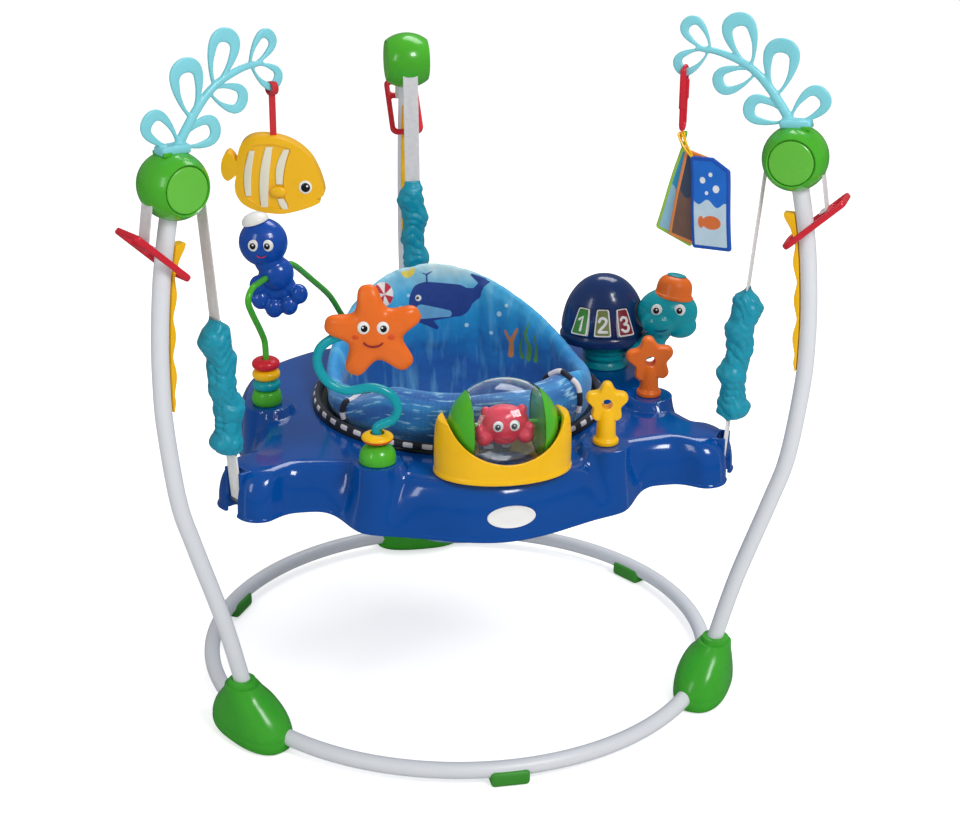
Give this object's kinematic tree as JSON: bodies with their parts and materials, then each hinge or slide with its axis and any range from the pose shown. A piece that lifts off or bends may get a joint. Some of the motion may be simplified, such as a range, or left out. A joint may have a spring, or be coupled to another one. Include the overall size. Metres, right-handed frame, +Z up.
{
  "type": "baby activity jumper",
  "caption": "Ring stand with curved towers that carries a bouncing play tray on straps and sleeved springs, with a turning sling seat, hanging toys and spinning toys.",
  "frame": {"origin": "on the floor, under the middle of the whole object's box", "axes": "+Z up, -Y towards the front of the tray, +X to the right as seen from the front"},
  "size_m": [0.9184, 0.8916, 0.9601],
  "materials": {
    "white_steel": "satin powder coat",
    "spring_steel": "drawn wire",
    "green_plastic": "moulded, glossy",
    "green_rubber": "soft, matt",
    "yellow_plastic": "moulded, glossy",
    "red_plastic": "moulded, glossy",
    "red_webbing": "woven webbing",
    "turquoise_plastic": "moulded, satin",
    "teal_plastic": "moulded, glossy",
    "teal_fabric": "gathered satin",
    "grey_webbing": "woven webbing",
    "blue_plastic": "moulded, high gloss",
    "dark_blue_plastic": "moulded, glossy",
    "blue_fabric": "printed woven polyester",
    "black_plastic": "matt with woven edging",
    "orange_plastic": "soft vinyl, satin",
    "olive_plastic": "moulded, glossy",
    "dark_red_plastic": "moulded, glossy",
    "clear_plastic": "clear, polished"
  },
  "bodies": {
    "frame": {"base_tube_front": "white_steel", "base_tube_left": "white_steel", "base_tube_right": "white_steel", "ring_foot_front": "green_rubber", "ring_foot_left": "green_rubber", "ring_foot_right": "green_rubber", "hub_left": "green_plastic", "hub_right": "green_plastic", "hub_back": "green_plastic", "tower_left": "white_steel", "tower_right": "white_steel", "tower_back": "white_steel", "housing_left": "green_plastic", "housing_right": "green_plastic", "housing_back": "green_plastic", "notch_rack_left": "yellow_plastic", "notch_rack_right": "yellow_plastic", "notch_rack_back": "yellow_plastic", "seaweed_left": "turquoise_plastic", "seaweed_right": "turquoise_plastic"},
    "suspension": {"strap_left": "grey_webbing", "strap_right": "grey_webbing", "strap_back": "grey_webbing", "spring_left": "spring_steel", "spring_right": "spring_steel", "spring_back": "spring_steel", "sleeve_left": "teal_fabric", "sleeve_right": "teal_fabric", "sleeve_back": "teal_fabric"},
    "adjuster_left": {"adjuster_left": "red_plastic"},
    "adjuster_right": {"adjuster_right": "red_plastic"},
    "adjuster_back": {"adjuster_back": "red_plastic"},
    "tray": {"play_tray": "blue_plastic", "crab_cradle": "yellow_plastic", "stalk_base": "green_plastic", "link_star_yellow": "yellow_plastic", "link_star_orange": "orange_plastic", "wire_arch": "green_plastic", "turtle_body": "teal_plastic", "turtle_shell": "dark_blue_plastic", "turtle_cap": "orange_plastic"},
    "seat": {"seat_ring": "black_plastic", "seat_sling": "blue_fabric"},
    "ball": {"ball_caps": "green_plastic", "ball_window": "clear_plastic", "crab": "red_plastic"},
    "disc": {"stalk_disc": "yellow_plastic"},
    "star": {"star_stalk": "teal_plastic", "starfish": "orange_plastic"},
    "bead_low": {"bead_teal": "teal_plastic"},
    "bead_middle": {"bead_yellow": "yellow_plastic"},
    "bead_high": {"bead_red": "red_plastic"},
    "octopus": {"octopus": "blue_plastic"},
    "button_1": {"number_button_1": "green_plastic"},
    "button_2": {"number_button_2": "olive_plastic"},
    "button_3": {"number_button_3": "dark_red_plastic"},
    "fish": {"fish_strap": "red_webbing", "fish": "yellow_plastic"},
    "clip": {"clip_link": "red_plastic"},
    "cards": {"card_book": "blue_fabric"}
  },
  "joints": [
    {"name": "height_adjust", "type": "slide", "parent": "frame", "child": "suspension", "axis": [0, 0, 1], "range_m": [0, 0.1], "deforming": ["strap_left", "strap_right", "strap_back"]},
    {"name": "adjuster_left_slide", "type": "slide", "parent": "frame", "child": "adjuster_left", "axis": [-0.0753, -0.0435, -0.9962], "range_m": [0, 0.1]},
    {"name": "adjuster_right_slide", "type": "slide", "parent": "frame", "child": "adjuster_right", "axis": [0.0753, -0.0435, -0.9962], "range_m": [0, 0.1]},
    {"name": "adjuster_back_slide", "type": "slide", "parent": "frame", "child": "adjuster_back", "axis": [0, 0.0869, -0.9962], "range_m": [0, 0.1]},
    {"name": "bounce", "type": "slide", "parent": "suspension", "child": "tray", "axis": [0, 0, 1], "range_m": [-0.1, 0.03], "stiffness_N_per_m": 1200, "springref_m": 0.05316, "deforming": ["spring_left", "spring_right", "spring_back", "sleeve_left", "sleeve_right", "sleeve_back"]},
    {"name": "seat_spin", "type": "hinge", "parent": "tray", "child": "seat", "pos_m": [0, -0.07079, 0.398], "axis": [0, 0, 1], "continuous": true},
    {"name": "ball_spin", "type": "hinge", "parent": "tray", "child": "ball", "pos_m": [0.01, -0.32079, 0.46], "axis": [1, 0, 0], "continuous": true},
    {"name": "disc_spin", "type": "hinge", "parent": "tray", "child": "disc", "pos_m": [-0.148, -0.29679, 0.4103], "axis": [0, 0, 1], "continuous": true},
    {"name": "star_wobble", "type": "hinge", "parent": "tray", "child": "star", "pos_m": [-0.148, -0.29679, 0.4426], "axis": [0.196, 0.9806, 0], "range_deg": [-10, 10], "stiffness_Nm_per_rad": 1.6, "springref_deg": 0.33},
    {"name": "bead_low_slide", "type": "slide", "parent": "tray", "child": "bead_low", "axis": [0, 0, 1], "range_m": [0, 0.005]},
    {"name": "bead_middle_slide", "type": "slide", "parent": "bead_low", "child": "bead_middle", "axis": [0, 0, 1], "range_m": [0, 0.005]},
    {"name": "bead_high_slide", "type": "slide", "parent": "bead_middle", "child": "bead_high", "axis": [0, 0, 1], "range_m": [0, 0.005]},
    {"name": "octopus_spin", "type": "hinge", "parent": "tray", "child": "octopus", "pos_m": [-0.25374, -0.04786, 0.586], "axis": [0.528, 0.8492, 0], "range_deg": [-60, 60]},
    {"name": "button_1_press", "type": "slide", "parent": "tray", "child": "button_1", "axis": [0.5946, 0.6636, -0.454], "range_m": [0, 0.0015], "stiffness_N_per_m": 400},
    {"name": "button_2_press", "type": "slide", "parent": "tray", "child": "button_2", "axis": [0.2104, 0.8658, -0.454], "range_m": [0, 0.0015], "stiffness_N_per_m": 400},
    {"name": "button_3_press", "type": "slide", "parent": "tray", "child": "button_3", "axis": [-0.2237, 0.8625, -0.454], "range_m": [0, 0.0015], "stiffness_N_per_m": 400},
    {"name": "fish_swing", "type": "hinge", "parent": "frame", "child": "fish", "pos_m": [-0.26037, -0.22111, 0.88052], "axis": [-0.866, -0.5, 0], "range_deg": [-25, 25]},
    {"name": "clip_swing", "type": "hinge", "parent": "frame", "child": "clip", "pos_m": [0.26037, -0.22111, 0.88052], "axis": [0.866, -0.5, 0], "range_deg": [-25, 25]},
    {"name": "card_swing", "type": "hinge", "parent": "clip", "child": "cards", "pos_m": [0.26037, -0.22111, 0.80732], "axis": [0.5, 0.866, 0], "range_deg": [-30, 30]}
  ],
  "couplings": [
    {"joint": "adjuster_left_slide", "follows": "height_adjust", "ratio": 1},
    {"joint": "adjuster_right_slide", "follows": "height_adjust", "ratio": 1},
    {"joint": "adjuster_back_slide", "follows": "height_adjust", "ratio": 1}
  ]
}
